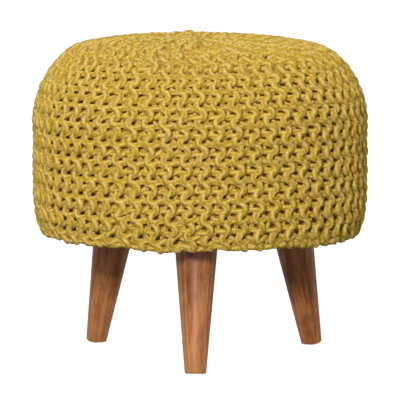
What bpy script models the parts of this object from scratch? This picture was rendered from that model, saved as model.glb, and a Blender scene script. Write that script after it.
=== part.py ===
"""Round footstool: a filled seat in a thick ribbed knit, set over a round board on three splayed turned legs.

The floor is z = 0, the seat's axis is the Z axis, and -Y is the front. All sizes are in metres.
"""
import math

import bmesh
import bpy
from mathutils import Matrix, Vector
from mathutils.geometry import interpolate_bezier

# Space left between neighbouring pieces
GAP = 0.0003

# Seat: outer reach of the knit, at the crests of its ribs
SEAT_RADIUS = 0.2148
CROWN_HEIGHT = 0.4120
CROWN_EDGE_RADIUS = 0.150
CROWN_EDGE_HEIGHT = 0.3980
SIDE_TOP_HEIGHT = 0.300
SIDE_FOOT_HEIGHT = 0.215
RIM_RADIUS = 0.200
RIM_HEIGHT = 0.1590

# Bezier handles of the seat's outline, as lengths along the tangent at each end
CROWN_HANDLE = 0.050
CROWN_POLE_FALL = 0.0020
CROWN_EDGE_SLOPE = 0.18
SHOULDER_HANDLE = 0.032
SIDE_TOP_HANDLE = 0.050
SIDE_FOOT_HANDLE = 0.030
RIM_HANDLE = 0.008

# Points along each stretch of the seat's outline
CROWN_POINTS = 5
SHOULDER_POINTS = 6
CORNER_POINTS = 5

# Ribs of the knit, one column of stitches each, and the gathered pole that they run up to
RIB_COUNT = 60
STEPS_PER_RIB = 4
RIB_DEPTH = 0.0040
RIB_FULL_RADIUS = 0.120
GATHER_SHIFT = Vector((-0.015, 0.010, 0.0))
GATHER_REACH = 0.175

# Knot that ties off the gathered stitches
KNOT_WIDTH = 0.015
KNOT_HEIGHT = 0.0065
KNOT_LOBES = 3
KNOT_LOBE_DEPTH = 0.10

# Board under the seat
BOARD_RADIUS = 0.182
BOARD_BOTTOM = 0.1595
BOARD_THICKNESS = 0.015
BOARD_EDGE_ROUND = 0.002

# Legs
LEG_AZIMUTHS = {"leg_front": -92.0, "leg_back_right": 26.0, "leg_back_left": 147.0}
LEG_SPLAY = math.radians(11.0)
FOOT_CENTRE_RADIUS = 0.163
FOOT_DIAMETER = 0.0265
FOOT_ROUND = 0.0015
LEG_TAPER = 0.171
LEG_SIDES = 32
# Share of the foot's width that is worn flat on the floor
FOOT_FLAT_SHARE = 0.40
TENON_DIAMETER = 0.024
TENON_LENGTH = 0.010
TENON_SIDES = 24

# Colours are linear RGB
YARN_COLOR = (0.58, 0.34, 0.062, 1.0)
WOOD_COLOR = (0.36, 0.125, 0.042, 1.0)
BOARD_COLOR = (0.50, 0.37, 0.21, 1.0)


def clear_scene():
    """Removes every object of the scene that Blender opened with."""
    for thing in list(bpy.data.objects):
        bpy.data.objects.remove(thing, do_unlink=True)


def make_collection(name):
    """Returns a new collection that is linked to the scene."""
    collection = bpy.data.collections.new(name)
    bpy.context.scene.collection.children.link(collection)
    return collection


def make_material(name, color, roughness):
    """Returns a Principled material of one colour."""
    material = bpy.data.materials.new(name)
    material.use_nodes = True
    shader = material.node_tree.nodes["Principled BSDF"]
    shader.inputs["Base Color"].default_value = color
    shader.inputs["Roughness"].default_value = roughness
    shader.inputs["Metallic"].default_value = 0.0
    material.diffuse_color = color
    return material


def add_object(name, mesh, collection, material=None):
    """Puts a mesh in the scene under a name, with its material."""
    thing = bpy.data.objects.new(name, mesh)
    collection.objects.link(thing)
    if material is not None:
        mesh.materials.clear()
        mesh.materials.append(material)
    return thing


def apply_modifiers(thing):
    """Replaces an object's mesh with the one that its modifiers make."""
    bpy.context.view_layer.update()
    graph = bpy.context.evaluated_depsgraph_get()
    mesh = bpy.data.meshes.new_from_object(thing.evaluated_get(graph))
    thing.modifiers.clear()
    thing.data = mesh
    return thing


def turned_mesh(name, outline, sides):
    """Turns an outline of (radius, height) points, top to bottom, once round the Z axis with a Screw."""
    mesh = bpy.data.meshes.new(name)
    edges = [(i, i + 1) for i in range(len(outline) - 1)]
    mesh.from_pydata([(radius, 0.0, height) for radius, height in outline], edges, [])
    thing = bpy.data.objects.new(name, mesh)
    bpy.context.scene.collection.objects.link(thing)
    screw = thing.modifiers.new("turn", "SCREW")
    screw.axis = "Z"
    screw.steps = sides
    screw.render_steps = sides
    screw.use_merge_vertices = True
    screw.merge_threshold = 0.00001
    apply_modifiers(thing)
    turned = thing.data
    bpy.data.objects.remove(thing, do_unlink=True)
    return turned


def bezier(start, start_handle, end_handle, end, count):
    """Returns count (radius, height) points along a Bezier stretch, without its first point."""
    curve = interpolate_bezier(Vector(start), Vector(start_handle), Vector(end_handle), Vector(end), count + 1)
    return [(point.x, point.y) for point in curve[1:]]


def seat_outline():
    """Returns the seat's outline from the crown's pole, down the side, to the middle of the board's pocket."""
    pole = (0.0, CROWN_HEIGHT)
    crown_edge = (CROWN_EDGE_RADIUS, CROWN_EDGE_HEIGHT)
    side_top = (SEAT_RADIUS, SIDE_TOP_HEIGHT)
    side_foot = (SEAT_RADIUS, SIDE_FOOT_HEIGHT)
    rim = (RIM_RADIUS, RIM_HEIGHT)
    points = [pole]
    points += bezier(
        pole,
        (CROWN_HANDLE, CROWN_HEIGHT - CROWN_POLE_FALL),
        (CROWN_EDGE_RADIUS - CROWN_HANDLE, CROWN_EDGE_HEIGHT + CROWN_EDGE_SLOPE * CROWN_HANDLE),
        crown_edge,
        CROWN_POINTS,
    )
    points += bezier(
        crown_edge,
        (CROWN_EDGE_RADIUS + SHOULDER_HANDLE, CROWN_EDGE_HEIGHT - CROWN_EDGE_SLOPE * SHOULDER_HANDLE),
        (SEAT_RADIUS, SIDE_TOP_HEIGHT + SIDE_TOP_HANDLE),
        side_top,
        SHOULDER_POINTS,
    )
    points.append(side_foot)
    points += bezier(
        side_foot,
        (SEAT_RADIUS, SIDE_FOOT_HEIGHT - SIDE_FOOT_HANDLE),
        (RIM_RADIUS + RIM_HANDLE, RIM_HEIGHT),
        rim,
        CORNER_POINTS,
    )
    pocket_radius = BOARD_RADIUS + GAP
    pocket_ceiling = BOARD_BOTTOM + BOARD_THICKNESS + GAP
    points += [(pocket_radius, BOARD_BOTTOM), (pocket_radius, pocket_ceiling), (0.0, pocket_ceiling)]
    return points


def raise_ribs(mesh):
    """Draws the valleys between the ribs inwards, and leans the crown towards its gathered pole."""
    body = bmesh.new()
    body.from_mesh(mesh)
    bmesh.ops.remove_doubles(body, verts=body.verts, dist=0.00001)
    pocket_radius = BOARD_RADIUS + GAP + 0.0001
    body.normal_update()
    for vert in body.verts:
        radius = math.hypot(vert.co.x, vert.co.y)
        under = vert.co.z < BOARD_BOTTOM + BOARD_THICKNESS + GAP + 0.0001 and radius < pocket_radius
        if under:
            continue
        if radius > GAP:
            around = math.atan2(vert.co.y, vert.co.x)
            valley = 0.5 - 0.5 * math.cos(RIB_COUNT * around)
            depth = RIB_DEPTH * valley * min(1.0, radius / RIB_FULL_RADIUS)
            vert.co -= vert.normal * depth
        if vert.co.z > SIDE_TOP_HEIGHT and radius < GATHER_REACH:
            pull = 1.0 - radius / GATHER_REACH
            vert.co += GATHER_SHIFT * pull * (2.0 - pull)
    body.normal_update()
    body.to_mesh(mesh)
    body.free()


def make_seat(collection, material):
    """Makes the filled seat in one piece, with its crown, its ribs and the pocket for the board."""
    mesh = turned_mesh("seat_mesh", seat_outline(), RIB_COUNT * STEPS_PER_RIB)
    raise_ribs(mesh)
    seat = add_object("knitted_seat", mesh, collection, material)
    seat.data.shade_smooth()
    return seat


def make_knot(collection, material):
    """Makes the small lobed knot that sits on the gathered pole."""
    body = bmesh.new()
    bmesh.ops.create_uvsphere(body, u_segments=18, v_segments=8, radius=0.5)
    for vert in body.verts:
        around = math.atan2(vert.co.y, vert.co.x)
        lobe = 1.0 + KNOT_LOBE_DEPTH * math.cos(KNOT_LOBES * around)
        vert.co.x *= KNOT_WIDTH * lobe
        vert.co.y *= KNOT_WIDTH * lobe
        vert.co.z *= KNOT_HEIGHT
    mesh = bpy.data.meshes.new("knot_mesh")
    body.to_mesh(mesh)
    body.free()
    knot = add_object("gather_knot", mesh, collection, material)
    knot.location = GATHER_SHIFT + Vector((0.0, 0.0, CROWN_HEIGHT + GAP + KNOT_HEIGHT / 2.0))
    knot.data.shade_smooth()
    return knot


def leg_matrix(azimuth):
    """Returns the frame of a leg: its foot's centre, with Z up along the leg's own leaning axis."""
    flat_reach = FOOT_DIAMETER * (0.5 - FOOT_FLAT_SHARE)
    foot_lift = flat_reach * math.sin(LEG_SPLAY)
    turn = Matrix.Rotation(math.radians(azimuth), 4, "Z")
    place = Matrix.Translation((FOOT_CENTRE_RADIUS, 0.0, foot_lift))
    lean = Matrix.Rotation(-LEG_SPLAY, 4, "Y")
    return turn @ place @ lean


def axis_length_to(height):
    """Returns how far along a leg's axis it reaches a height above the floor."""
    return height / math.cos(LEG_SPLAY)


def make_block(name, low, high, collection):
    """Makes a wide square cutter between two heights."""
    body = bmesh.new()
    bmesh.ops.create_cube(body, size=1.0)
    width = 4.0 * SEAT_RADIUS
    for vert in body.verts:
        vert.co.x *= width
        vert.co.y *= width
        vert.co.z = high if vert.co.z > 0.0 else low
    mesh = bpy.data.meshes.new(name)
    body.to_mesh(mesh)
    body.free()
    return hide_cutter(add_object(name, mesh, collection))


def make_peg(name, diameter, foot, top, collection):
    """Makes a round peg along Z between two lengths."""
    body = bmesh.new()
    bmesh.ops.create_cone(
        body,
        cap_ends=True,
        segments=TENON_SIDES,
        radius1=diameter / 2.0,
        radius2=diameter / 2.0,
        depth=top - foot,
        matrix=Matrix.Translation((0.0, 0.0, (top + foot) / 2.0)),
    )
    mesh = bpy.data.meshes.new(name)
    body.to_mesh(mesh)
    body.free()
    return hide_cutter(add_object(name, mesh, collection))


def hide_cutter(thing):
    """Marks an object as one that only cuts or joins others."""
    thing.hide_render = True
    thing.display_type = "WIRE"
    return thing


def add_boolean(thing, operation, other):
    """Adds an exact Boolean of another object."""
    modifier = thing.modifiers.new(other.name, "BOOLEAN")
    modifier.operation = operation
    modifier.solver = "EXACT"
    modifier.object = other


def leg_outline():
    """Returns a leg's outline along its own axis, from above the board down to the foot."""
    top = axis_length_to(BOARD_BOTTOM + BOARD_THICKNESS)
    foot_radius = FOOT_DIAMETER / 2.0
    top_radius = foot_radius + LEG_TAPER * top / 2.0
    return [
        (0.0, top),
        (top_radius, top),
        (foot_radius + LEG_TAPER * FOOT_ROUND / 2.0, FOOT_ROUND),
        (foot_radius - FOOT_ROUND * 0.3, FOOT_ROUND * 0.3),
        (foot_radius - FOOT_ROUND, 0.0),
        (0.0, 0.0),
    ]


def make_legs(collection, cutters, material):
    """Makes the three legs, each cut level under the board with a round tenon left standing on it."""
    below_floor = make_block("below_floor", -0.02, 0.0, cutters)
    above_legs = make_block("above_legs", BOARD_BOTTOM - GAP, BOARD_BOTTOM + 4.0 * BOARD_THICKNESS, cutters)
    seat_line = axis_length_to(BOARD_BOTTOM)
    pegs = {}
    for name, azimuth in LEG_AZIMUTHS.items():
        frame = leg_matrix(azimuth)
        leg = add_object(name, turned_mesh(name + "_mesh", leg_outline(), LEG_SIDES), collection, material)
        leg.matrix_world = frame
        tenon = make_peg(
            name + "_tenon", TENON_DIAMETER, seat_line - 4.0 * TENON_LENGTH, seat_line + TENON_LENGTH, cutters
        )
        tenon.matrix_world = frame
        add_boolean(leg, "DIFFERENCE", below_floor)
        add_boolean(leg, "DIFFERENCE", above_legs)
        add_boolean(leg, "UNION", tenon)
        socket = make_peg(
            name + "_socket",
            TENON_DIAMETER + 2.0 * GAP,
            seat_line - 4.0 * TENON_LENGTH,
            seat_line + TENON_LENGTH + GAP,
            cutters,
        )
        socket.matrix_world = frame
        pegs[name] = socket
        leg.data.shade_smooth()
        leg.data.set_sharp_from_angle(angle=math.radians(35.0))
    return pegs


def make_board(collection, material, sockets):
    """Makes the round board, with a rounded edge and a slanting socket for each leg's tenon."""
    top = BOARD_BOTTOM + BOARD_THICKNESS
    edge = BOARD_EDGE_ROUND
    outline = [
        (0.0, top),
        (BOARD_RADIUS - edge, top),
        (BOARD_RADIUS - 0.3 * edge, top - 0.3 * edge),
        (BOARD_RADIUS, top - edge),
        (BOARD_RADIUS, BOARD_BOTTOM + edge),
        (BOARD_RADIUS - 0.3 * edge, BOARD_BOTTOM + 0.3 * edge),
        (BOARD_RADIUS - edge, BOARD_BOTTOM),
        (0.0, BOARD_BOTTOM),
    ]
    board = add_object("base_board", turned_mesh("board_mesh", outline, 96), collection, material)
    for socket in sockets.values():
        add_boolean(board, "DIFFERENCE", socket)
    return board


def main():
    """Builds the footstool."""
    clear_scene()
    parts = make_collection("round_footstool")
    cutters = make_collection("cutters")
    yarn = make_material("mustard_yarn", YARN_COLOR, 0.9)
    wood = make_material("oiled_wood", WOOD_COLOR, 0.45)
    plain_board = make_material("plain_board", BOARD_COLOR, 0.7)
    make_seat(parts, yarn)
    make_knot(parts, yarn)
    sockets = make_legs(parts, cutters, wood)
    make_board(parts, plain_board, sockets)


main()
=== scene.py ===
"""Looks of the round footstool: a thick knitted cover over a filled seat, on three turned wooden legs.

The cover is real yarn: each row of loops is a tube that runs up the side and over the crown, and every
second row is turned inside out, which raises the upright ridges. All sizes are in metres, +Z is up and -Y
is the front.
"""
from __future__ import annotations

import logging
import math
from dataclasses import dataclass, field
from enum import Enum

import bpy  # noqa: E402
import numpy as np  # noqa: E402
from mathutils import Matrix, Vector  # noqa: E402


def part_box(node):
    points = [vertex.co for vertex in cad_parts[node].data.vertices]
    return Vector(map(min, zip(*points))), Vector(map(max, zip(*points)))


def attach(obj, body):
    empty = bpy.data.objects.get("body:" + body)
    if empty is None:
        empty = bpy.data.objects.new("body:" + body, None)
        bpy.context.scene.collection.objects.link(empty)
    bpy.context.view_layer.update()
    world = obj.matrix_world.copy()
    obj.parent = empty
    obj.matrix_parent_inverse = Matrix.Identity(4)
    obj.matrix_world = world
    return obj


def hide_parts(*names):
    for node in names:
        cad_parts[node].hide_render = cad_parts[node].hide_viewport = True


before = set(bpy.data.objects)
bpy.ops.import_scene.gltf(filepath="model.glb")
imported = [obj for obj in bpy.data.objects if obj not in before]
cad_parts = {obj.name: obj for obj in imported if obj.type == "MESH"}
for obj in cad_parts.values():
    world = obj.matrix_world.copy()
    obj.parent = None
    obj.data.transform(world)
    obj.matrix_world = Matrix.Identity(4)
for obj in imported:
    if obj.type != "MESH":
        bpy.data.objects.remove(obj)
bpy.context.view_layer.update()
LOG = logging.getLogger("footstool")

Socket = bpy.types.NodeSocket
Color = tuple[float, float, float]
# Colours of a ramp, each with its position, in order
Stops = tuple[tuple[float, Color], ...]
WHITE = (1.0, 1.0, 1.0)

FULL_TURN = 2.0 * math.pi
MILLIMETRE = 0.001
# Length of cord in which its strands twist round once
TWIST_LENGTH = 0.022
# Steps of a cord's bevel, which make it eight-sided
CORD_STEPS = 2
# Mesh attributes of a leg: the place along its own axis, and how much darker it is painted there, a
# painted shade
OWN_PLACE = "own_place"
PAINTED_SHADE = "painted_shade"


class Slot(Enum):
    """Names of the two material slots, yarn and wood."""

    YARN = "yarn"
    WOOD = "wood"


class Row(Enum):
    """The two kinds of row, by the side on which the heads of their loops lie."""

    KNIT = 1.0
    PURL = -1.0


def ease(share: np.ndarray) -> np.ndarray:
    """Returns shares from 0 to 1 with a slow start and a slow end."""
    return share * share * (3.0 - 2.0 * share)


def bezier(share: np.ndarray, *points: np.ndarray | tuple) -> np.ndarray:
    """Returns places on a cubic Bezier curve.

    Args:
        share: A column with shares of the way along the curve.
        points: The curve's start, its two handles and its end.

    Returns:
        An array with a row for each share.
    """
    rest = 1 - share
    weights = [rest**3, 3 * share * rest**2, 3 * share**2 * rest, share**3]
    return sum(weight * np.asarray(point, float) for weight, point in zip(weights, points))


def running_lengths(points: np.ndarray) -> np.ndarray:
    """Returns how far along a line of points each point lies."""
    steps = np.linalg.norm(np.diff(points, axis=0), axis=1)
    return np.concatenate([[0.0], np.cumsum(steps)])


@dataclass(frozen=True)
class Pattern:
    """The sizes of one noise pattern."""

    scale: float
    detail: float
    roughness: float = 0.5
    distortion: float = 0.0


class NodeSketch:
    """A short hand for a node tree, whose steps give back the socket that they end in."""

    def __init__(self, tree: bpy.types.NodeTree) -> None:
        """Takes the tree that the nodes are added to."""
        self.tree = tree

    def give(self, target: Socket, value: Socket | float | tuple) -> None:
        """Links another socket to an input, or sets the input to a value."""
        if isinstance(value, Socket):
            self.tree.links.new(value, target)
        else:
            target.default_value = value

    def add(self, kind: str, inputs: dict | None = None, **settings: object) -> bpy.types.Node:
        """Adds a node.

        Args:
            kind: The node's type name.
            inputs: What its inputs are given, by name or number.
            settings: Properties to set on the node.

        Returns:
            The new node.
        """
        node = self.tree.nodes.new(kind)
        for key, value in settings.items():
            setattr(node, key, value)
        for key, value in (inputs or {}).items():
            self.give(node.inputs[key], value)
        return node

    def math(self, operation: str, *values: Socket | float, clamp: bool = False) -> Socket:
        """Adds a Math node.

        Args:
            operation: The Math node's operation.
            values: Its inputs, in order.
            clamp: Whether the result is held between 0 and 1.

        Returns:
            The socket of the result.
        """
        inputs = dict(enumerate(values))
        return self.add("ShaderNodeMath", inputs, operation=operation, use_clamp=clamp).outputs[0]

    def scaled(self, source: Socket, factor: float, offset: float = 0.0) -> Socket:
        """Returns a socket times a factor, plus an offset."""
        return self.math("MULTIPLY_ADD", source, factor, offset)

    def total(self, *parts: Socket) -> Socket:
        """Returns the sum of sockets."""
        result = parts[0]
        for part in parts[1:]:
            result = self.math("ADD", result, part)
        return result

    def split(self, vector: Socket) -> bpy.types.bpy_prop_collection:
        """Returns the sockets X, Y and Z of a vector."""
        return self.add("ShaderNodeSeparateXYZ", {0: vector}).outputs

    def stretch(self, vector: Socket, scale: tuple[float, float, float]) -> Socket:
        """Returns a place that is scaled along each axis."""
        return self.add("ShaderNodeMapping", {"Vector": vector, "Scale": scale}).outputs["Vector"]

    def noise(self, place: Socket, pattern: Pattern) -> Socket:
        """Adds a noise pattern.

        Args:
            place: The place that it reads.
            pattern: Its sizes.

        Returns:
            The socket of its strength, from 0 to 1.
        """
        inputs = {
            "Vector": place,
            "Scale": pattern.scale,
            "Detail": pattern.detail,
            "Roughness": pattern.roughness,
            "Distortion": pattern.distortion,
        }
        return self.add("ShaderNodeTexNoise", inputs).outputs["Fac"]

    def ramp(self, factor: Socket, stops: Stops) -> Socket:
        """Adds a colour ramp.

        Args:
            factor: The socket that it reads.
            stops: Its positions and linear RGB colours.

        Returns:
            The socket of its colour.
        """
        node = self.add("ShaderNodeValToRGB", {"Fac": factor})
        elements = node.color_ramp.elements
        while len(elements) < len(stops):
            elements.new(0.5)
        for element, (position, color) in zip(elements, stops):
            element.position = position
            element.color = (*color, 1.0)
        return node.outputs["Color"]


class FinishSketch(NodeSketch):
    """The node tree of a new material, with its shader."""

    def __init__(self, name: str, inputs: dict[str, float | tuple]) -> None:
        """Starts the material.

        Args:
            name: The material's name.
            inputs: What is the same all over the surface, by the shader's socket.
        """
        self.material = bpy.data.materials.new(name)
        self.material.use_nodes = True
        super().__init__(self.material.node_tree)
        self.tree.nodes.clear()
        self.shader = self.add("ShaderNodeBsdfPrincipled", inputs)
        self.add("ShaderNodeOutputMaterial", {"Surface": self.shader.outputs["BSDF"]})

    def object_place(self) -> Socket:
        """Returns the place in Object coordinates."""
        return self.add("ShaderNodeTexCoord").outputs["Object"]

    def feed(self, name: str, value: Socket) -> None:
        """Links a socket to one of the shader's inputs."""
        self.give(self.shader.inputs[name], value)

    def relief(self, height: Socket, strength: float, depth: float) -> None:
        """Gives the surface a relief.

        Args:
            height: The relief's height, from 0 to 1.
            strength: How much of it shows.
            depth: Its full height in metres.
        """
        inputs = {"Height": height, "Strength": strength, "Distance": depth}
        self.feed("Normal", self.add("ShaderNodeBump", inputs).outputs["Normal"])


@dataclass(frozen=True)
class YarnFinish:
    """Soft matt cotton cord in mustard yellow, its strands twisted together."""

    # Colours of the darkest tone, reached partly as painted shade in the grooves between the strands and
    # partly in darker random fibres, of the cord, and of its pale fibres
    tones: Stops = (
        (0.40, (0.425, 0.248, 0.020)),
        (0.53, (0.640, 0.430, 0.055)),
        (0.66, (0.815, 0.618, 0.192)),
    )
    # Cooler and warmer tints that the colour is multiplied with, in patches
    tints: Stops = ((0.43, (0.97, 1.0, 0.78)), (0.57, (1.0, 0.95, 1.12)))
    strands: float = 3.0
    fibres: Pattern = Pattern(520.0, 5.0, 0.75)
    blotches: Pattern = Pattern(330.0, 2.0, 0.6)
    hues: Pattern = Pattern(170.0, 2.0)
    fuzz: Pattern = Pattern(420.0, 1.5, 0.6)
    # Shares of the strand wave, which paints shade into the grooves between the strands, of the blotches
    # and of the fibres in the colour
    groove_shade_share: float = 0.16
    blotch_share: float = 0.36
    fibre_share: float = 0.56
    # Height of the fuzz beside that of the strands, and the relief's depth
    fuzz_height: float = 0.9
    relief_depth: float = 0.0007
    roughness: float = 0.88
    specular: float = 0.12
    sheen: float = 0.05
    sheen_roughness: float = 0.5
    sheen_tint: Color = (1.0, 0.86, 0.55)

    def build(self) -> bpy.types.Material:
        """Returns the material, whose strands follow the cord's own UV map."""
        sketch = FinishSketch("mustard_cord", {
            "Roughness": self.roughness,
            "Specular IOR Level": self.specular,
            "Sheen Weight": self.sheen,
            "Sheen Roughness": self.sheen_roughness,
            "Sheen Tint": (*self.sheen_tint, 1.0),
        })
        along_cord = sketch.split(sketch.add("ShaderNodeUVMap", uv_map="UVMap").outputs["UV"])
        twist = sketch.math("DIVIDE", along_cord["X"], TWIST_LENGTH)
        turn = sketch.total(twist, sketch.scaled(along_cord["Y"], self.strands))
        wave = sketch.math("COSINE", sketch.scaled(turn, FULL_TURN))
        strand = sketch.scaled(wave, 0.5, 0.5)
        place = sketch.object_place()
        # Painted shade: the strand wave darkens the grooves between the strands; the blotches and fibres
        # add random tone
        tone = sketch.total(
            sketch.scaled(strand, self.groove_shade_share),
            sketch.scaled(sketch.noise(place, self.blotches), self.blotch_share),
            sketch.scaled(sketch.noise(place, self.fibres), self.fibre_share),
        )
        tint = sketch.ramp(sketch.noise(place, self.hues), self.tints)
        inputs = {"Factor": 1.0, 6: sketch.ramp(tone, self.tones), 7: tint}
        tinted = sketch.add("ShaderNodeMix", inputs, data_type="RGBA", blend_type="MULTIPLY")
        sketch.feed("Base Color", tinted.outputs[2])
        fuzz = sketch.scaled(sketch.noise(place, self.fuzz), self.fuzz_height)
        sketch.relief(sketch.total(strand, fuzz), 1.0, self.relief_depth)
        return sketch.material


@dataclass(frozen=True)
class InnerClothFinish:
    """Plain orange-brown cloth of the filled seat, seen only through the slits of the knit."""

    tones: Stops = ((0.35, (0.640, 0.330, 0.045)), (0.65, (0.780, 0.430, 0.070)))
    threads: Pattern = Pattern(900.0, 2.0)
    roughness: float = 0.95
    relief_strength: float = 0.3
    relief_depth: float = 0.0004

    def build(self) -> bpy.types.Material:
        """Returns the material, a fine uneven weave."""
        sketch = FinishSketch("inner_cloth", {"Roughness": self.roughness})
        weave = sketch.noise(sketch.object_place(), self.threads)
        sketch.feed("Base Color", sketch.ramp(weave, self.tones))
        sketch.relief(weave, self.relief_strength, self.relief_depth)
        return sketch.material


@dataclass(frozen=True)
class WoodFinish:
    """Satin oiled red-brown hardwood, with its grain along the piece."""

    tones: Stops = (
        (0.28, (0.120, 0.034, 0.011)),
        (0.52, (0.340, 0.109, 0.031)),
        (0.82, (0.620, 0.258, 0.090)),
    )
    # How the grain is drawn out along the piece
    grain_stretch: tuple[float, float, float] = (1.0, 1.0, 0.055)
    rings: Pattern = Pattern(26.0, 3.0, distortion=0.4)
    ring_count: float = 9.0
    ring_share: float = 0.50
    streaks: Pattern = Pattern(420.0, 6.0, 0.7)
    streak_share: float = 0.80
    clouds: Pattern = Pattern(38.0, 3.0, 0.6)
    cloud_share: float = 0.50
    # Painted light: height over which the wood is painted paler towards the foot, as lit from the floor,
    # with the higher wood darker as in the seat's shade, and by how much
    foot_light_reach: float = 0.150
    painted_foot_light: float = 0.27
    # Lowest roughness, and how much of the streaks is added to it
    roughness: float = 0.30
    streak_roughness: float = 0.16
    coat: float = 0.15
    coat_roughness: float = 0.3
    relief_strength: float = 0.25
    relief_depth: float = 0.0003

    def build(self) -> bpy.types.Material:
        """Returns the material, whose grain follows the leg's own axis."""
        sketch = FinishSketch("oiled_hardwood", {
            "Coat Weight": self.coat,
            "Coat Roughness": self.coat_roughness,
        })
        place = sketch.add("ShaderNodeAttribute", attribute_name=OWN_PLACE).outputs["Vector"]
        # The leg's painted shade, which darkens a leg low down where it stands in shade
        painted_shade = sketch.add("ShaderNodeAttribute", attribute_name=PAINTED_SHADE).outputs["Fac"]
        drawn_out = sketch.stretch(place, self.grain_stretch)
        ring = sketch.math("FRACT", sketch.scaled(sketch.noise(drawn_out, self.rings), self.ring_count))
        streaks = sketch.noise(drawn_out, self.streaks)
        clouds = sketch.noise(place, self.clouds)
        height = sketch.math("DIVIDE", sketch.split(place)["Z"], self.foot_light_reach, clamp=True)
        tone = sketch.total(
            sketch.scaled(sketch.math("PINGPONG", ring, 0.5), self.ring_share),
            sketch.scaled(streaks, self.streak_share),
            sketch.scaled(clouds, self.cloud_share, -0.5 * self.cloud_share),
            # Painted light: paler towards the foot, as lit from the floor, and darker higher up, as in the
            # seat's shade
            sketch.scaled(height, -self.painted_foot_light, self.painted_foot_light),
            # Painted shade low on the leg
            painted_shade,
        )
        sketch.feed("Base Color", sketch.ramp(tone, self.tones))
        sketch.feed("Roughness", sketch.scaled(streaks, self.streak_roughness, self.roughness))
        sketch.relief(streaks, self.relief_strength, self.relief_depth)
        return sketch.material


@dataclass(frozen=True)
class BoardFinish:
    """Plain sanded plywood, with its plies at the edge."""

    tones: Stops = ((0.35, (0.400, 0.280, 0.150)), (0.75, (0.560, 0.420, 0.250)))
    grain_stretch: tuple[float, float, float] = (1.0, 0.08, 1.0)
    grain: Pattern = Pattern(260.0, 5.0, 0.65)
    ply_thickness: float = 0.0030
    ply_share: float = 0.25
    roughness: float = 0.7
    relief_strength: float = 0.2
    relief_depth: float = 0.0003

    def build(self) -> bpy.types.Material:
        """Returns the material, whose grain runs from front to back."""
        sketch = FinishSketch("plain_plywood", {"Roughness": self.roughness})
        place = sketch.object_place()
        grain = sketch.noise(sketch.stretch(place, self.grain_stretch), self.grain)
        ply = sketch.math("DIVIDE", sketch.split(place)["Z"], self.ply_thickness)
        plies = sketch.scaled(sketch.math("PINGPONG", ply, 1.0), self.ply_share)
        sketch.feed("Base Color", sketch.ramp(sketch.total(grain, plies), self.tones))
        sketch.relief(grain, self.relief_strength, self.relief_depth)
        return sketch.material


@dataclass(frozen=True)
class FloorFinish:
    """Plain white studio floor, pale by a glow of its own, on which soft shadows still show."""

    color: Color = (0.25, 0.25, 0.25)
    glow: float = 0.86
    roughness: float = 0.9

    def build(self) -> bpy.types.Material:
        """Returns the material."""
        return FinishSketch("studio_floor", {
            "Base Color": (*self.color, 1.0),
            "Emission Color": (*WHITE, 1.0),
            "Emission Strength": self.glow,
            "Roughness": self.roughness,
        }).material


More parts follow.
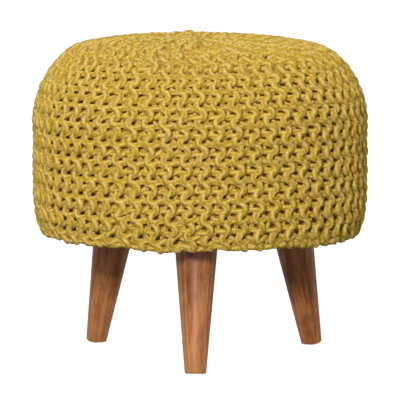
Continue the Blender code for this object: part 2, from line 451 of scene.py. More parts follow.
class Bench:
    """The operators and steps that several pieces share."""

    @staticmethod
    def clear_selection() -> None:
        """Leaves nothing selected, so an operator acts on one piece alone."""
        bpy.ops.object.select_all(action="DESELECT")

    @classmethod
    def pick(cls, piece: bpy.types.Object) -> None:
        """Selects one piece and makes it active."""
        cls.clear_selection()
        piece.select_set(True)
        bpy.context.view_layer.objects.active = piece

    @classmethod
    def turned(cls, name: str, stations: list[tuple[float, float]], sides: int) -> bpy.types.Object:
        """Makes a closed round solid by extruding a disc from station to station.

        Args:
            name: The piece's name.
            stations: Pairs of radius and height, from the bottom disc to the top one.
            sides: Number of sides.

        Returns:
            The piece, active and in object mode.
        """
        cls.clear_selection()
        radius, height = stations[0]
        bpy.ops.mesh.primitive_circle_add(
            vertices=sides, radius=radius, fill_type="NGON", location=(0.0, 0.0, height)
        )
        piece = bpy.context.object
        piece.name = name
        bpy.ops.object.transform_apply(location=True, rotation=True, scale=True)
        bpy.ops.object.mode_set(mode="EDIT")
        bpy.ops.mesh.select_all(action="SELECT")
        for next_radius, next_height in stations[1:]:
            bpy.ops.mesh.extrude_region_move(
                TRANSFORM_OT_translate={"value": (0.0, 0.0, next_height - height)}
            )
            ratio = next_radius / radius
            bpy.ops.transform.resize(value=(ratio, ratio, 1.0), center_override=(0.0, 0.0, next_height))
            radius, height = next_radius, next_height
        bpy.ops.mesh.select_all(action="SELECT")
        bpy.ops.mesh.normals_make_consistent(inside=False)
        bpy.ops.object.mode_set(mode="OBJECT")
        return piece

    @classmethod
    def slice_flat(cls, piece: bpy.types.Object, height: float, keep_above: bool) -> None:
        """Cuts a piece level at a height and closes the cut.

        Args:
            piece: The piece to cut.
            height: The cut's height.
            keep_above: Whether the part above the cut stays.
        """
        cls.pick(piece)
        bpy.ops.object.mode_set(mode="EDIT")
        bpy.ops.mesh.select_all(action="SELECT")
        bpy.ops.mesh.bisect(
            plane_co=(0.0, 0.0, height),
            plane_no=(0.0, 0.0, 1.0),
            use_fill=True,
            clear_inner=keep_above,
            clear_outer=not keep_above,
        )
        bpy.ops.object.mode_set(mode="OBJECT")

    @classmethod
    def smooth(cls, piece: bpy.types.Object, angle: float = 35.0) -> None:
        """Shades a piece smooth, but for edges sharper than an angle in degrees."""
        cls.pick(piece)
        bpy.ops.object.shade_smooth_by_angle(angle=math.radians(angle))

    @classmethod
    def cord(
        cls, name: str, path: np.ndarray, radius: float, girth: np.ndarray | None = None
    ) -> bpy.types.Object:
        """Makes a tube along a path.

        Args:
            name: The piece's name.
            path: Points along the tube's middle.
            radius: The tube's radius.
            girth: The share of that radius that each point has; all of it where None.

        Returns:
            The piece, a mesh.
        """
        curve = bpy.data.curves.new(name, "CURVE")
        curve.dimensions = "3D"
        curve.bevel_depth = radius
        curve.bevel_resolution = CORD_STEPS
        curve.use_fill_caps = True
        spline = curve.splines.new("POLY")
        spline.points.add(len(path) - 1)
        spline.points.foreach_set("co", np.column_stack([path, np.ones(len(path))]).ravel())
        if girth is not None:
            spline.points.foreach_set("radius", girth)
        piece = bpy.data.objects.new(name, curve)
        bpy.context.scene.collection.objects.link(piece)
        cls.pick(piece)
        bpy.ops.object.convert(target="MESH")
        piece = bpy.context.object
        bpy.ops.object.shade_smooth()
        cls.measure_cord(piece, path)
        return piece

    @staticmethod
    def measure_cord(piece: bpy.types.Object, path: np.ndarray) -> None:
        """Makes a tube's UV map one of metres along it and turns around it.

        The metres start again at each twist, face by face, so the numbers stay small and exact.

        Args:
            piece: The tube.
            path: Points along its middle.
        """
        layer = piece.data.uv_layers[0]
        layer.name = "UVMap"
        values = np.zeros(2 * len(layer.data))
        layer.data.foreach_get("uv", values)
        metres = np.interp(values[0::2] * (len(path) - 1), np.arange(len(path)), running_lengths(path))
        faces = len(piece.data.polygons)
        starts = np.zeros(faces, np.int32)
        totals = np.zeros(faces, np.int32)
        piece.data.polygons.foreach_get("loop_start", starts)
        piece.data.polygons.foreach_get("loop_total", totals)
        twists = np.floor(metres[starts] / TWIST_LENGTH)
        values[0::2] = metres - TWIST_LENGTH * np.repeat(twists, totals)
        layer.data.foreach_set("uv", values)

    @staticmethod
    def dress(
        piece: bpy.types.Object, material: bpy.types.Material, slot: Slot, body: str = "root"
    ) -> None:
        """Gives a piece its finish and its place in the frame.

        Args:
            piece: The piece to dress.
            material: Its material.
            slot: Not used.
            body: The body that it rides on.
        """
        piece.data.materials.clear()
        piece.data.materials.append(material)
        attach(piece, body)


@dataclass
class SeatOutline:
    """The seat's outline at the outer reach of the knit, from its underside up to the pole."""

    radius: float = 0.2148
    crown_height: float = 0.4120
    crown_edge: tuple[float, float] = (0.150, 0.3980)
    crown_handle: float = 0.050
    pole_fall: float = 0.0020
    crown_edge_slope: float = 0.18
    shoulder_handle: float = 0.032
    side_top: float = 0.300
    side_top_handle: float = 0.050
    side_foot: float = 0.215
    side_foot_handle: float = 0.030
    rim: tuple[float, float] = (0.200, 0.1590)
    rim_handle: float = 0.008
    underside_radius: float = 0.1885
    samples: int = 160
    underside_samples: int = 12
    points: np.ndarray = field(init=False)
    normals: np.ndarray = field(init=False)

    def __post_init__(self) -> None:
        """Works out the outline's points and outward normals."""
        edge_radius, edge_height = self.crown_edge
        rim_radius, rim_height = self.rim
        slope = self.crown_edge_slope
        side_foot, side_top = (self.radius, self.side_foot), (self.radius, self.side_top)
        share = np.linspace(0.0, 1.0, self.samples)[:, None]
        underside = np.linspace((self.underside_radius, rim_height), self.rim, self.underside_samples)
        corner = bezier(
            share,
            self.rim,
            (rim_radius + self.rim_handle, rim_height),
            (self.radius, self.side_foot - self.side_foot_handle),
            side_foot,
        )
        side = np.linspace(side_foot, side_top, self.samples)
        shoulder = bezier(
            share,
            side_top,
            (self.radius, self.side_top + self.side_top_handle),
            (edge_radius + self.shoulder_handle, edge_height - slope * self.shoulder_handle),
            self.crown_edge,
        )
        crown = bezier(
            share,
            self.crown_edge,
            (edge_radius - self.crown_handle, edge_height + slope * self.crown_handle),
            (self.crown_handle, self.crown_height - self.pole_fall),
            (0.0, self.crown_height),
        )
        self.points = np.vstack([underside, corner[1:], side[1:], shoulder[1:], crown[1:]])
        tangents = np.gradient(self.points, axis=0)
        tangents /= np.linalg.norm(tangents, axis=1)[:, None]
        self.normals = np.column_stack([tangents[:, 1], -tangents[:, 0]])

    def inset(self, depth: float) -> "InsetLine":
        """Returns the outline drawn inwards.

        Args:
            depth: How far it is drawn in, square to itself.

        Returns:
            The line, which stops short of the axis.
        """
        points = self.points - depth * self.normals
        points[:, 0] = np.maximum(points[:, 0], 0.0)
        return InsetLine(points, self.normals)


@dataclass
class InsetLine:
    """A line of (radius, height) points with their outward normals, measured along its length."""

    points: np.ndarray
    normals: np.ndarray
    lengths: np.ndarray = field(init=False)

    def __post_init__(self) -> None:
        """Works out the running lengths."""
        self.lengths = running_lengths(self.points)

    @property
    def total(self) -> float:
        """The line's whole length."""
        return float(self.lengths[-1])

    def at(self, length: np.ndarray) -> tuple[np.ndarray, np.ndarray, np.ndarray, np.ndarray]:
        """Returns radius, height and the normal's two parts at running lengths."""
        values = [self.points[:, 0], self.points[:, 1], self.normals[:, 0], self.normals[:, 1]]
        return tuple(np.interp(length, self.lengths, value) for value in values)

    def length_at_radius(self, radius: float) -> float:
        """Returns the running length at which the crown comes in to a radius."""
        half = len(self.lengths) // 2
        return float(np.interp(-radius, -self.points[half:, 0], self.lengths[half:]))


@dataclass
class KnittedCover:
    """The knitted cover: rows of loops in thick cord, in wedges that meet at the gathered pole."""

    outline: SeatOutline
    yarn_radius: float = 0.0040
    stitch_length: float = 0.0250
    # How much shorter each stitch is than the one below it
    stitch_shortening: float = 0.0004
    foot_length: float = 0.0100
    ridge_count: int = 60
    wedge_count: int = 6
    # A loop's width as a share of its ridge's, how far it spreads and sags along its row, and its depths
    loop_reach: float = 0.90
    loop_spread: float = 0.0018
    loop_sag: float = 0.0022
    front_depth: float = 0.0036
    back_depth: float = 0.0036
    # How much fuller the cord is at a loop's front, and thinner where other loops squeeze it at the back
    front_fullness: float = 0.13
    # How far each row lies from its ridge's middle, and a ridge's least width, as a share of the wedge's
    row_offset: float = 0.25
    least_width: float = 0.045
    steps_per_stitch: int = 20
    # The order in which a wedge's ridges end on the way up, and the one that goes on to the pole
    ending_order: tuple[int, ...] = (10, 1, 6, 3, 8, 2, 9, 4, 7, 5)
    ending_share: float = 0.75
    pole_radius: float = 0.012
    closing_length: float = 0.020
    # Part of a stitch that a row stops short of its ridge's end
    end_room: float = 0.5
    # The turns that join two rows: how far they run on at the top and at the foot, and their points
    turn_reach: float = 0.006
    foot_turn_reach: float = -0.004
    turn_points: int = 8
    tuck_depth: float = 0.006
    foot_wander: float = 0.0035
    # Stitches over which a foot that hangs lower than the others comes back into line
    foot_wander_stitches: float = 2.0
    # How far the lower edge hangs down, in millimetres, at angles in degrees round the seat
    hem_drops: tuple[tuple[float, float], ...] = (
        (-180.0, 3.0), (-168.0, 4.0), (-158.0, 1.0), (-146.0, 3.5), (-130.0, 1.5), (-117.0, 0.5),
        (-112.0, 2.5), (-107.0, 6.5), (-100.0, 4.5), (-92.0, 3.0), (-82.0, 0.5), (-76.0, 2.0),
        (-70.0, 4.5), (-64.0, 0.5), (-54.0, 3.0), (-45.0, 5.5), (-28.0, 5.5), (-10.0, 6.0),
        (3.0, 3.5), (22.0, 2.0), (40.0, 4.5), (58.0, 1.0), (75.0, 3.5), (92.0, 1.5),
        (108.0, 4.5), (124.0, 1.0), (141.0, 3.5), (160.0, 1.5), (180.0, 3.0),
    )
    hem_bend: float = 1.5
    # The drawn-in edge: its radius, its waves and ripples, and how much of the hem's drop it follows
    edge_radius: float = 0.1985
    edge_wave: float = 0.0018
    edge_points_per_ridge: int = 12
    edge_lift: float = 0.6
    edge_drop: float = 0.7
    # How the edge's waves and ripples are shifted: by how much, and how often on the way round
    wave_shift: tuple[float, float] = (1.3, 5.0)
    ripple_shift: tuple[float, float] = (2.0, 3.0)
    # Where the gathered pole lies, and the radius from which the cover is pulled towards it
    gather_shift: tuple[float, float] = (-0.015, 0.010)
    gather_reach: float = 0.175
    # How much the crown swells, and how much further out than the pull it begins to
    crown_swell: float = 0.0022
    swell_margin: float = 0.02
    # Brings the highest value of x * x * (1 - x) to 1
    swell_factor: float = 6.75
    lean_per_metre: float = 0.29
    # How much higher the rows lie on the right than on the left, reached over a length from the foot
    row_tilt: float = 0.0025
    row_tilt_reach: float = 0.06
    unevenness: float = 0.0006
    lift_unevenness: float = 0.0003
    thickness_wander: float = 0.05
    # Radius under which a sideways wander no longer turns a loop further
    wander_radius: float = 0.01
    seed: int = 7
    base: InsetLine = field(init=False)
    rng: np.random.Generator = field(init=False)

    def __post_init__(self) -> None:
        """Sets the line on which the yarn's loops are centred."""
        fullest = self.yarn_radius * (1.0 + self.front_fullness)
        self.base = self.outline.inset(fullest + self.front_depth)
        self.rng = np.random.default_rng(self.seed)

    @property
    def ridges_per_wedge(self) -> int:
        """Number of ridges in one wedge."""
        return self.ridge_count // self.wedge_count

    @property
    def wedge_angle(self) -> float:
        """Angle that one wedge takes."""
        return FULL_TURN / self.wedge_count

    def length_of(self, stitches: np.ndarray) -> np.ndarray:
        """Returns the running lengths that a row reaches after numbers of stitches."""
        shorter = 0.5 * self.stitch_shortening * stitches**2
        return self.stitch_length * stitches - shorter - self.foot_length

    def stitches_to(self, length: float) -> float:
        """Returns the number of stitches up to a running length."""
        whole, fall = self.stitch_length, self.stitch_shortening
        return (whole - math.sqrt(whole * whole - 2.0 * fall * (length + self.foot_length))) / fall

    def end_of(self, ridge: int) -> float:
        """Returns the running length at which a ridge ends.

        Args:
            ridge: The ridge's number in its wedge.

        Returns:
            The length along the base line.
        """
        order = self.ending_order[ridge]
        count = self.ridges_per_wedge
        if order == count:
            return self.base.length_at_radius(self.pole_radius)
        share = (count - order + 0.5) / count
        return self.base.length_at_radius(self.ending_share * share * self.outline.radius)

    def ridge_shares(self, length: np.ndarray) -> tuple[np.ndarray, np.ndarray]:
        """Returns each ridge's middle and width, as shares of its wedge, at running lengths.

        Args:
            length: Running lengths along the base line.

        Returns:
            Two arrays with a row for each length and a column for each ridge.
        """
        weights = []
        for ridge in range(self.ridges_per_wedge):
            share = (self.end_of(ridge) + self.closing_length - length) / (2.0 * self.closing_length)
            weights.append(ease(np.clip(share, 0.0, 1.0)))
        weights[self.ending_order.index(self.ridges_per_wedge)] = np.ones_like(length)
        table = np.column_stack(weights)
        whole = table.sum(axis=1)[:, None]
        return (np.cumsum(table, axis=1) - 0.5 * table) / whole, table / whole

    def drift(self, count: int, amount: float) -> np.ndarray:
        """Returns a smooth random wander.

        Args:
            count: Number of steps.
            amount: Typical size of the wander.

        Returns:
            A value for each step.
        """
        knots = max(4, count // self.steps_per_stitch + 3)
        values = self.rng.normal(0.0, amount, knots)
        at = np.linspace(0.0, knots - 1.0, count)
        low = np.clip(np.floor(at).astype(int), 0, knots - 2)
        part = ease(at - low)
        return values[low] * (1.0 - part) + values[low + 1] * part

    def place(self, length: np.ndarray, angle: np.ndarray, lift: np.ndarray) -> np.ndarray:
        """Returns points in space for places on the cover.

        Args:
            length: Running lengths along the base line.
            angle: Angles round the seat's axis.
            lift: Heights above the base line, outwards.

        Returns:
            An array with a point in each row.
        """
        radius, height, normal_r, normal_h = self.base.at(length)
        radius = radius + normal_r * lift
        height = height + normal_h * lift
        inward = np.clip(radius / (self.gather_reach + self.swell_margin), 0.0, 1.0)
        swell = self.swell_factor * inward**2 * (1.0 - inward)
        swell = np.where(height > self.outline.side_top, swell, 0.0)
        height = height + self.crown_swell * swell - self.hem_drop(height, angle)
        pull = np.clip(1.0 - radius / self.gather_reach, 0.0, 1.0)
        pull = np.where(height > self.outline.side_top, pull * (2.0 - pull), 0.0)
        x = radius * np.cos(angle) + self.gather_shift[0] * pull
        y = radius * np.sin(angle) + self.gather_shift[1] * pull
        return np.column_stack([x, y, height])

    def hem_drop(self, height: np.ndarray | float, angle: np.ndarray) -> np.ndarray:
        """Returns how far the cover's lower part hangs down.

        Args:
            height: Heights without the drop.
            angle: Angles round the seat's axis.

        Returns:
            The drop at each of them.
        """
        turns = (np.degrees(angle) + 180.0) % 360.0 - 180.0
        table = np.array(self.hem_drops)
        drop = MILLIMETRE * np.interp(turns, table[:, 0], table[:, 1])
        low = (self.outline.side_foot - height) / (self.outline.side_foot - self.outline.rim[1])
        return drop * np.clip(low, 0.0, 1.0) ** self.hem_bend

    def loop_row(
        self, wedge: int, ridge: int, row: Row, first: float, last: float, hang: float
    ) -> np.ndarray:
        """Returns the places of one row of loops, from its foot up.

        Args:
            wedge: The wedge's number.
            ridge: The ridge's number in its wedge.
            row: Which of the ridge's two rows.
            first: The loop angle at which the row starts.
            last: The loop angle at which it ends.
            hang: How far its foot hangs lower or higher than the others.

        Returns:
            An array of (length, angle, lift, girth) rows.
        """
        count = int(round((last - first) / FULL_TURN * self.steps_per_stitch)) + 1
        turn = np.linspace(first, last, count)
        front = row.value * np.cos(turn)
        length = self.length_of(turn / FULL_TURN)
        length = length + self.loop_spread * np.sin(2.0 * turn) - self.loop_sag * front
        length = length + self.drift(count, self.unevenness)
        past_foot = (turn - first) / (FULL_TURN * self.foot_wander_stitches)
        length = length + hang * np.clip(1.0 - past_foot, 0.0, 1.0)
        middles, widths = self.ridge_shares(length)
        width = np.maximum(widths[:, ridge], self.least_width) * self.wedge_angle
        middle = (wedge + middles[:, ridge]) * self.wedge_angle
        length = length + self.row_tilt * np.cos(middle) * np.clip(length / self.row_tilt_reach, 0.0, 1.0)
        reach = 0.5 * self.loop_reach * width
        angle = middle - row.value * self.row_offset * width + reach * np.cos(turn)
        radius = np.maximum(self.base.at(length)[0], self.wander_radius)
        angle = angle + self.drift(count, self.unevenness) / radius - self.lean_per_metre * length
        lift = np.where(front > 0.0, front * self.front_depth, front * self.back_depth)
        lift = lift + self.drift(count, self.lift_unevenness)
        left = (last - turn) / FULL_TURN
        lift = lift - self.tuck_depth * np.clip(1.0 - left, 0.0, 1.0) ** 2
        girth = 1.0 + self.front_fullness * front + self.drift(count, self.thickness_wander)
        return np.column_stack([length, angle, lift, girth])

    def bend(self, start: np.ndarray, end: np.ndarray, over: float, sink: float = 0.0) -> np.ndarray:
        """Returns the places of the turn that joins two rows.

        Args:
            start: Place at which the first row ends.
            end: Place at which the next row starts.
            over: How far the turn runs on past both, along the seat.
            sink: How far the turn dips inwards.

        Returns:
            The places between the two, as rows.
        """
        share = np.linspace(0.0, 1.0, self.turn_points + 2)[1:-1, None]
        shift = np.array([over, 0.0, -sink, 0.0])
        return bezier(share, start, start + shift, end + shift, end)

    def wedge_path(self, wedge: int) -> tuple[np.ndarray, np.ndarray]:
        """Returns the yarn's whole path through one wedge, and its girth along it."""
        stretches = []
        for ridge in range(self.ridges_per_wedge):
            loops = math.floor(self.stitches_to(self.end_of(ridge)) - self.end_room)
            top = FULL_TURN * loops
            hang = self.rng.normal(0.0, self.foot_wander)
            up = self.loop_row(wedge, ridge, Row.KNIT, math.pi, top, hang)
            down = self.loop_row(wedge, ridge, Row.PURL, FULL_TURN, top + math.pi, hang)[::-1]
            if stretches:
                stretches.append(self.bend(stretches[-1][-1], up[0], self.foot_turn_reach))
            stretches += [up, self.bend(up[-1], down[0], self.turn_reach, self.tuck_depth), down]
        places = np.vstack(stretches)
        length = np.clip(places[:, 0], 0.0, self.base.total)
        return self.place(length, places[:, 1], places[:, 2]), places[:, 3]

    def edge_path(self) -> np.ndarray:
        """Returns the path of the yarn that the lowest loops are drawn in on, under the seat's rim."""
        turn = np.linspace(0.0, FULL_TURN, 1 + self.edge_points_per_ridge * self.ridge_count)
        wave_shift = self.wave_shift[0] * np.sin(self.wave_shift[1] * turn)
        ripple_shift = self.ripple_shift[0] * np.sin(self.ripple_shift[1] * turn)
        wave = np.sin(self.ridge_count * turn + wave_shift)
        ripple = np.sin(0.5 * self.ridge_count * turn + ripple_shift)
        radius = self.edge_radius + self.edge_wave * wave + self.drift(len(turn), self.unevenness)
        radius[-1] = radius[0]
        lift = self.edge_wave * (self.edge_lift + self.edge_lift * ripple)
        height = self.outline.rim[1] + self.yarn_radius + lift
        height = height - self.edge_drop * self.hem_drop(height, turn)
        return np.column_stack([radius * np.cos(turn), radius * np.sin(turn), height])

    def build(self, material: bpy.types.Material) -> list[bpy.types.Object]:
        """Makes and dresses the cover.

        Args:
            material: The yarn's material.

        Returns:
            A piece for the drawn-in edge and one for each wedge.
        """
        edge = Bench.cord("knit_edge", self.edge_path(), self.yarn_radius)
        Bench.dress(edge, material, Slot.YARN)
        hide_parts("knitted_seat")
        pieces = [edge]
        for wedge in range(self.wedge_count):
            path, girth = self.wedge_path(wedge)
            piece = Bench.cord(f"knit_wedge_{wedge + 1}", path, self.yarn_radius, girth)
            Bench.dress(piece, material, Slot.YARN)
            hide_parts("knitted_seat")
            pieces.append(piece)
        return pieces


@dataclass
class FilledBody:
    """The stuffed seat inside the knit, with a pocket under it for the board."""

    outline: SeatOutline
    side_depth: float = 0.0160
    crown_depth: float = 0.0138
    # The crown's depth holds near the axis and fades outwards to the side's over this radius
    blend_start: float = 1.3
    blend_radius: float = 0.17
    pole_dip: float = 0.0060
    pole_dip_radius: float = 0.045
    sides: int = 96
    station_count: int = 40
    least_radius: float = 0.004
    pocket_gap: float = 0.0008
    # How much the pocket's ceiling falls towards its middle, and how far above the board the side starts
    ceiling_slope: float = 0.0001
    side_start: float = 0.004
    smooth_angle: float = 50.0

    def stations(self) -> list[tuple[float, float]]:
        """Returns the body's radius and height from its pocket's middle, round its side, to the pole."""
        _, board_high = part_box("base_board")
        side = self.outline.inset(self.side_depth).points
        crown = self.outline.inset(self.crown_depth).points
        radius = side[:, 0]
        share = np.clip(self.blend_start - radius / self.blend_radius, 0.0, 1.0)
        share = share * (side[:, 1] > self.outline.side_top)
        line = side + share[:, None] * (crown - side)
        line[:, 1] -= self.pole_dip * np.clip(1.0 - radius / self.pole_dip_radius, 0.0, 1.0) * share
        ceiling = board_high.z + self.pocket_gap
        stations = [
            (self.least_radius, ceiling),
            (board_high.x + self.pocket_gap, ceiling + self.ceiling_slope),
        ]
        for index in np.linspace(0, len(line) - 1, self.station_count).astype(int):
            if line[index, 1] > board_high.z + self.side_start:
                stations.append((max(float(line[index, 0]), self.least_radius), float(line[index, 1])))
        return stations

    def build(self, material: bpy.types.Material) -> bpy.types.Object:
        """Makes and dresses the body.

        Args:
            material: The inner cloth's material.

        Returns:
            The piece.
        """
        body = Bench.turned("filled_body", self.stations(), self.sides)
        Bench.smooth(body, self.smooth_angle)
        Bench.dress(body, material, Slot.YARN)
        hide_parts("knitted_seat")
        return body


@dataclass
class GatherKnot:
    """The small knot of yarn that ties off the gathered pole."""

    cover: KnittedCover
    cord_radius: float = 0.0028
    wraps: float = 2.5
    sink: float = 0.0030
    knot_points: int = 70
    # How much the wraps draw in and out, and how often they do so in x, in y and in height on each turn
    cross_share: float = 0.28
    cross_waves: tuple[float, float, float] = (0.5, 0.8, 1.5)
    height_share: float = 0.8
    # The spiral under the knot: its turns, its radii from its start to its end, and its fall outwards
    gather_turns: float = 3.4
    gather_radii: tuple[float, float] = (0.0265, 0.003)
    gather_fall: float = 0.0050
    gather_points: int = 150
    gather_closing: float = 0.8
    # Sizes of the spiral's waves, sideways and in height, and their numbers on each turn
    wave_sizes: tuple[float, float] = (0.0008, 0.0006)
    wave_counts: tuple[float, float] = (5.3, 7.1)

    def gather_path(self) -> np.ndarray:
        """Returns the path of the yarn that draws the last stitches together, a closing spiral."""
        share = np.linspace(0.0, 1.0, self.gather_points) ** self.gather_closing
        turn = FULL_TURN * self.gather_turns * share
        wave = self.wave_sizes[0] * np.sin(self.wave_counts[0] * turn)
        radius = self.gather_radii[0] + (self.gather_radii[1] - self.gather_radii[0]) * share + wave
        x = self.cover.gather_shift[0] + radius * np.cos(turn)
        y = self.cover.gather_shift[1] + radius * np.sin(turn)
        top = self.cover.outline.crown_height - self.cover.yarn_radius
        ripple = self.wave_sizes[1] * np.cos(self.wave_counts[1] * turn)
        z = top - self.gather_fall * (1.0 - share) + ripple
        return np.column_stack([x, y, z])

    def path(self) -> np.ndarray:
        """Returns the knot's path, a few wraps that cross over each other."""
        low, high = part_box("gather_knot")
        middle = (low + high) / 2.0
        reach = (high - low) / 2.0 - Vector((self.cord_radius,) * 3)
        turn = np.linspace(0.0, FULL_TURN * self.wraps, self.knot_points)
        in_x, in_y, in_height = self.cross_waves
        whole = 1.0 - self.cross_share
        x = middle.x + reach.x * np.cos(turn) * (whole + self.cross_share * np.cos(in_x * turn))
        y = middle.y + reach.y * np.sin(turn) * (whole + self.cross_share * np.sin(in_y * turn))
        z = middle.z - self.sink + self.height_share * reach.z * np.sin(in_height * turn)
        return np.column_stack([x, y, z])

    def build(self, material: bpy.types.Material) -> list[bpy.types.Object]:
        """Makes and dresses the knot and the gathering yarn under it.

        Args:
            material: The yarn's material.

        Returns:
            The gathering yarn and the knot.
        """
        gather = Bench.cord("pole_gather", self.gather_path(), self.cover.yarn_radius)
        Bench.dress(gather, material, Slot.YARN)
        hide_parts("knitted_seat")
        knot = Bench.cord("pole_knot", self.path(), self.cord_radius)
        Bench.dress(knot, material, Slot.YARN)
        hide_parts("gather_knot")
        return [gather, knot]


@dataclass
class TurnedLeg:
    """One leg: a tapered turned rod that leans outwards, cut level under the board."""

    node: str
    azimuth: float
    splay: float = math.radians(11.0)
    foot_centre_radius: float = 0.163
    foot_diameter: float = 0.0265
    # Size of the foot's rounding, and its insets and heights as shares of that
    foot_round: float = 0.0018
    round_steps: tuple[tuple[float, float], ...] = ((1.0, 0.0), (0.45, 0.15), (0.12, 0.5))
    # How much wider the leg grows for its length
    taper: float = 0.171
    flat_share: float = 0.40
    # Painted shade: how much darker this leg is painted below a height, for the shade that falls on it,
    # and over which length it changes
    painted_lower_shade: float = 0.0
    shade_height: float = 0.125
    shade_blend: float = 0.030
    sides: int = 64
    rings: int = 8
    # Length of the rod above the board's underside, before it is cut
    spare_length: float = 0.02
    gap: float = 0.0003

    def frame(self) -> Matrix:
        """Returns the leg's own frame, with Z along its axis."""
        lift = self.foot_diameter * (0.5 - self.flat_share) * math.sin(self.splay)
        turn = Matrix.Rotation(math.radians(self.azimuth), 4, "Z")
        place = Matrix.Translation((self.foot_centre_radius, 0.0, lift))
        return turn @ place @ Matrix.Rotation(-self.splay, 4, "Y")

    def stations(self, top: float) -> list[tuple[float, float]]:
        """Returns the rod's radius and height from its foot up.

        Args:
            top: The rod's length.

        Returns:
            Pairs of radius and height.
        """
        foot = self.foot_diameter / 2.0
        stations = []
        for inset, rise in self.round_steps:
            stations.append((foot - inset * self.foot_round, rise * self.foot_round))
        for ring in range(self.rings + 1):
            height = self.foot_round + (top - self.foot_round) * ring / self.rings
            stations.append((foot + self.taper * height / 2.0, height))
        return stations

    def mark_wood(self, leg: bpy.types.Object) -> None:
        """Writes the attributes that the wood's finish reads, while the leg still stands upright."""
        own_place = leg.data.attributes.new(OWN_PLACE, "FLOAT_VECTOR", "POINT")
        places = np.zeros(3 * len(leg.data.vertices), np.float32)
        leg.data.vertices.foreach_get("co", places)
        own_place.data.foreach_set("vector", places)
        # Painted shade: below a height the leg is painted darker, for the shade that falls on it there
        heights = places.reshape(-1, 3)[:, 2]
        share = np.clip((self.shade_height - heights) / self.shade_blend, 0.0, 1.0)
        painted_shade = leg.data.attributes.new(PAINTED_SHADE, "FLOAT", "POINT")
        painted_shade.data.foreach_set("value", (-self.painted_lower_shade * share).astype(np.float32))

    def build(self, material: bpy.types.Material) -> bpy.types.Object:
        """Makes and dresses the leg.

        Args:
            material: The wood's material.

        Returns:
            The piece.
        """
        board_low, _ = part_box("base_board")
        top = (board_low.z + self.spare_length) / math.cos(self.splay)
        leg = Bench.turned(f"turned_{self.node}", self.stations(top), self.sides)
        self.mark_wood(leg)
        leg.data.transform(self.frame())
        Bench.slice_flat(leg, 0.0, keep_above=True)
        Bench.slice_flat(leg, board_low.z - self.gap, keep_above=False)
        Bench.smooth(leg)
        Bench.dress(leg, material, Slot.WOOD)
        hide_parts(self.node)
        return leg


@dataclass
class BaseBoard:
    """The round board, as it is in the frame, in plywood."""

    node: str = "base_board"

    def build(self, material: bpy.types.Material) -> bpy.types.Object:
        """Dresses the board.

        Args:
            material: The plywood's material.

        Returns:
            The board's own piece of the frame.
        """
        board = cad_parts[self.node]
        board.data.materials.clear()
        board.data.materials.append(material)
        return board


@dataclass(frozen=True)
class SoftLight:
    """One soft square light."""

    name: str
    place: tuple[float, float, float]
    power: float
    size: float
    tint: Color

    def hang(self, aim: Vector) -> None:
        """Adds the light, turned towards a point."""
        data = bpy.data.lights.new(self.name, "AREA")
        data.energy = self.power
        data.size = self.size
        data.color = self.tint
        lamp = bpy.data.objects.new(self.name, data)
        bpy.context.scene.collection.objects.link(lamp)
        lamp.location = self.place
        lamp.rotation_euler = (aim - Vector(self.place)).to_track_quat("-Z", "Y").to_euler()


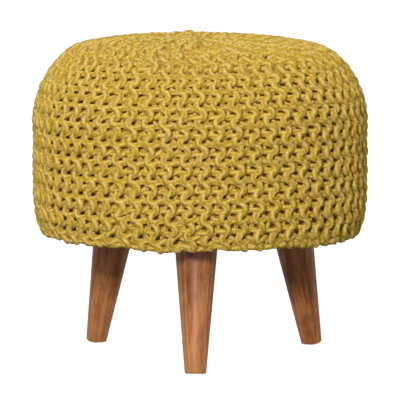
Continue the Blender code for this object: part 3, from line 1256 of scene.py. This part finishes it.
@dataclass
class Studio:
    """Pale floor, soft lights and the camera."""

    frame_width: float = 400.0
    elevation: float = math.radians(7.0)
    distance: float = 4.30
    aim_height: float = 0.1979
    pixels_per_metre: float = 779.0
    sensor_width: float = 36.0
    view_reach: float = 100.0
    floor_size: float = 24.0
    floor_cuts: int = 3
    soft_lights: tuple[SoftLight, ...] = (
        SoftLight("key_light", (-0.52, -2.95, 1.27), 60.0, 0.4, (1.0, 0.98, 0.95)),
        SoftLight("top_light", (-0.6, -1.2, 2.8), 12.0, 1.4, (1.0, 0.99, 0.96)),
        SoftLight("back_light", (0.3, 2.9, 1.5), 32.0, 1.2, (1.0, 0.99, 0.97)),
    )
    # Light of the surroundings by height, from below, where it stands in for the floor's, to overhead
    glows: Stops = ((0.48, (0.30, 0.28, 0.26)), (0.50, WHITE), (0.62, WHITE), (0.80, (0.57, 0.58, 0.60)))
    # Strength of the white surroundings behind, the share of it in the room in front, and where it changes
    world_strength: float = 1.03
    room_glow: float = 0.50
    room_range: tuple[float, float] = (-0.2, 0.3)

    @property
    def aim(self) -> Vector:
        """The point that the camera and the lights face."""
        return Vector((0.0, 0.0, self.aim_height))

    def floor(self, material: bpy.types.Material) -> bpy.types.Object:
        """Lays the floor, a wide flat sheet that throws no light back on the footstool.

        Args:
            material: The floor's material.

        Returns:
            The floor.
        """
        Bench.clear_selection()
        bpy.ops.mesh.primitive_plane_add(size=self.floor_size, location=(0.0, 0.0, 0.0))
        floor = bpy.context.object
        floor.name = "studio_floor"
        bpy.ops.object.transform_apply(location=True, rotation=True, scale=True)
        bpy.ops.object.mode_set(mode="EDIT")
        bpy.ops.mesh.subdivide(number_cuts=self.floor_cuts)
        bpy.ops.object.mode_set(mode="OBJECT")
        floor.data.materials.append(material)
        floor.visible_diffuse = False
        floor.visible_glossy = False
        return floor

    def lights(self) -> None:
        """Hangs the soft lights."""
        for soft_light in self.soft_lights:
            soft_light.hang(self.aim)

    def surroundings(self) -> None:
        """Sets the pale surroundings, and shows colours as they are."""
        world = bpy.data.worlds.new("studio_world")
        bpy.context.scene.world = world
        world.use_nodes = True
        sketch = NodeSketch(world.node_tree)
        way = sketch.split(sketch.add("ShaderNodeTexCoord").outputs["Generated"])
        inputs = {
            "Value": way["Y"],
            "From Min": self.room_range[0],
            "From Max": self.room_range[1],
            "To Min": self.room_glow,
        }
        depth = sketch.add("ShaderNodeMapRange", inputs).outputs["Result"]
        glow = sketch.ramp(sketch.scaled(way["Z"], 0.5, 0.5), self.glows)
        background = sketch.tree.nodes["Background"].inputs
        sketch.give(background["Strength"], sketch.scaled(depth, self.world_strength))
        sketch.give(background["Color"], glow)
        bpy.context.scene.view_settings.view_transform = "Standard"

    def camera(self) -> bpy.types.Object:
        """Places the camera at the photograph's angle."""
        data = bpy.data.cameras.new("camera")
        data.sensor_width = self.sensor_width
        data.lens = self.pixels_per_metre * self.distance * self.sensor_width / self.frame_width
        data.clip_end = self.view_reach
        camera = bpy.data.objects.new("camera", data)
        bpy.context.scene.collection.objects.link(camera)
        back = Vector((0.0, -math.cos(self.elevation), math.sin(self.elevation)))
        camera.location = self.aim + self.distance * back
        camera.rotation_euler = (-back).to_track_quat("-Z", "Y").to_euler()
        bpy.context.scene.camera = camera
        return camera


def main() -> None:
    """Builds the footstool's looks, piece by piece, and reports each."""
    logging.basicConfig(level=logging.INFO, format="%(name)s %(message)s")
    studio = Studio()
    studio.camera()
    studio.lights()
    studio.surroundings()
    studio.floor(FloorFinish().build())
    outline = SeatOutline()
    cover = KnittedCover(outline)
    yarn = YarnFinish().build()
    wood = WoodFinish().build()
    pieces = cover.build(yarn)
    pieces.append(FilledBody(outline).build(InnerClothFinish().build()))
    pieces.extend(GatherKnot(cover).build(yarn))
    pieces.append(TurnedLeg("leg_front", -92.0).build(wood))
    # The back right leg is painted darker low down, a painted shade where it stands in shade
    pieces.append(TurnedLeg("leg_back_right", 26.0, painted_lower_shade=0.15).build(wood))
    pieces.append(TurnedLeg("leg_back_left", 147.0).build(wood))
    pieces.append(BaseBoard().build(BoardFinish().build()))
    for piece in pieces:
        LOG.info("%s: %d faces", piece.name, len(piece.data.polygons))


if __name__ == "__main__":
    main()
